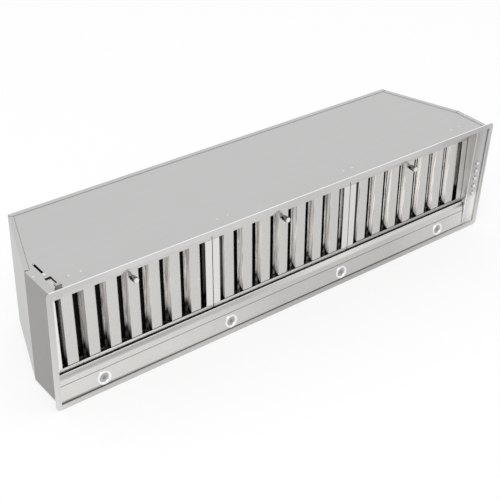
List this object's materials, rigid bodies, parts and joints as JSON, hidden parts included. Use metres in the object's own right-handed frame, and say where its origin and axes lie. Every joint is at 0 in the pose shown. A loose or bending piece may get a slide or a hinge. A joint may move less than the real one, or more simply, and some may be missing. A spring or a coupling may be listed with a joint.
{
  "type": "range hood insert",
  "caption": "Folded steel range hood insert with lamps, baffle filters, push buttons, a blower in a scroll and a round duct collar with backdraft flaps.",
  "frame": {"origin": "middle of the bounding box seen from above, on its lowest face; the insert lies on its long wall as in the picture", "axes": "+X along the length, towards the controls; +Y from the intake face to the duct collar, along the collar's axis; +Z upwards, from the lamps' side to the filters' far edge. When installed, +Y points up."},
  "size_m": [1.165, 0.3274, 0.2725],
  "materials": {
    "wall_steel": "brushed lengthwise",
    "light_panel_steel": "brushed lengthwise",
    "control_steel": "brushed",
    "filter_frame_steel": "polished",
    "baffle_steel": "polished",
    "knob_steel": "turned",
    "button_metal": "turned",
    "button_ring_metal": "polished",
    "bezel_chrome": "polished",
    "lamp_glass": "frosted",
    "cast_heat_sink": "cast",
    "zinc_sheet": "zinc coated",
    "spring_steel": "plain",
    "wheel_zinc": "zinc coated",
    "ground_steel": "ground",
    "motor_paint": "satin black",
    "flap_aluminium": "mill",
    "capacitor_plastic": "matte",
    "black_plastic": "matte",
    "board_laminate": "lacquered",
    "screw_steel": "zinc coated",
    "rivet_steel": "plain"
  },
  "bodies": {
    "housing": {"flange_frame": "wall_steel", "rear_wall": "wall_steel", "front_wall": "wall_steel", "left_end_panel": "wall_steel", "right_end_panel": "wall_steel", "left_duct_panel": "wall_steel", "duct_plate": "wall_steel", "right_duct_panel": "wall_steel", "light_panel": "light_panel_steel", "lamp_channel": "zinc_sheet", "lamp_bezels": "bezel_chrome", "lamp_lenses": "lamp_glass", "lamp_bodies": "cast_heat_sink", "rear_filter_rail": "zinc_sheet", "catch_springs": "spring_steel", "control_panel": "control_steel", "control_cover": "zinc_sheet", "switch_bank": "black_plastic", "button_rings": "button_ring_metal", "control_board": "board_laminate", "scroll_band": "zinc_sheet", "scroll_side_left": "zinc_sheet", "scroll_side_right": "zinc_sheet", "outlet_plate": "zinc_sheet", "motor_body": "motor_paint", "motor_bracket": "zinc_sheet", "duct_collar": "zinc_sheet", "flap_rod": "ground_steel", "capacitor": "capacitor_plastic", "junction_box": "zinc_sheet", "junction_cover": "zinc_sheet", "cable_gland": "black_plastic", "led_driver": "black_plastic", "clamp_bracket": "zinc_sheet", "clamp_screw": "screw_steel", "rivets": "rivet_steel"},
    "filter_1": {"filter_1_frame": "filter_frame_steel", "filter_1_front_baffles": "baffle_steel", "filter_1_rear_baffles": "baffle_steel", "filter_1_knob": "knob_steel"},
    "filter_2": {"filter_2_frame": "filter_frame_steel", "filter_2_front_baffles": "baffle_steel", "filter_2_rear_baffles": "baffle_steel", "filter_2_knob": "knob_steel"},
    "filter_3": {"filter_3_frame": "filter_frame_steel", "filter_3_front_baffles": "baffle_steel", "filter_3_rear_baffles": "baffle_steel", "filter_3_knob": "knob_steel"},
    "blower": {"blower_wheel": "wheel_zinc", "motor_shaft": "ground_steel"},
    "front_flap": {"front_flap": "flap_aluminium"},
    "rear_flap": {"rear_flap": "flap_aluminium"},
    "clamp": {"clamp": "zinc_sheet"},
    "button_1": {"button_1": "button_metal"},
    "button_2": {"button_2": "button_metal"},
    "button_3": {"button_3": "button_metal"},
    "button_4": {"button_4": "button_metal"},
    "button_5": {"button_5": "button_metal"}
  },
  "joints": [
    {"name": "filter_1_swing", "type": "hinge", "parent": "housing", "child": "filter_1", "pos_m": [0, -0.1383, 0.0667], "axis": [1, 0, 0], "range_deg": [0, 30]},
    {"name": "filter_2_swing", "type": "hinge", "parent": "housing", "child": "filter_2", "pos_m": [0, -0.1383, 0.0667], "axis": [1, 0, 0], "range_deg": [0, 30]},
    {"name": "filter_3_swing", "type": "hinge", "parent": "housing", "child": "filter_3", "pos_m": [0, -0.1383, 0.0667], "axis": [1, 0, 0], "range_deg": [0, 30]},
    {"name": "button_1_press", "type": "slide", "parent": "housing", "child": "button_1", "axis": [0, 1, 0], "range_m": [0, 0.0018], "stiffness_N_per_m": 900, "springref_m": -0.0005},
    {"name": "button_2_press", "type": "slide", "parent": "housing", "child": "button_2", "axis": [0, 1, 0], "range_m": [0, 0.0018], "stiffness_N_per_m": 900, "springref_m": -0.0005},
    {"name": "button_3_press", "type": "slide", "parent": "housing", "child": "button_3", "axis": [0, 1, 0], "range_m": [0, 0.0018], "stiffness_N_per_m": 900, "springref_m": -0.0005},
    {"name": "button_4_press", "type": "slide", "parent": "housing", "child": "button_4", "axis": [0, 1, 0], "range_m": [0, 0.0018], "stiffness_N_per_m": 900, "springref_m": -0.0005},
    {"name": "button_5_press", "type": "slide", "parent": "housing", "child": "button_5", "axis": [0, 1, 0], "range_m": [0, 0.0018], "stiffness_N_per_m": 900, "springref_m": -0.0005},
    {"name": "blower_spin", "type": "hinge", "parent": "housing", "child": "blower", "pos_m": [0, -0.0055, 0.09798], "axis": [1, 0, 0], "continuous": true},
    {"name": "rear_flap_swing", "type": "hinge", "parent": "housing", "child": "rear_flap", "pos_m": [0, 0.1325, 0.13625], "axis": [-1, 0, 0], "range_deg": [0, 75], "stiffness_Nm_per_rad": 0.02, "springref_deg": -11.46},
    {"name": "front_flap_swing", "type": "hinge", "parent": "housing", "child": "front_flap", "pos_m": [0, 0.1325, 0.13625], "axis": [1, 0, 0], "range_deg": [0, 75], "stiffness_Nm_per_rad": 0.02, "springref_deg": -11.46},
    {"name": "clamp_travel", "type": "slide", "parent": "housing", "child": "clamp", "axis": [0, 1, 0], "range_m": [0, 0.026]}
  ]
}
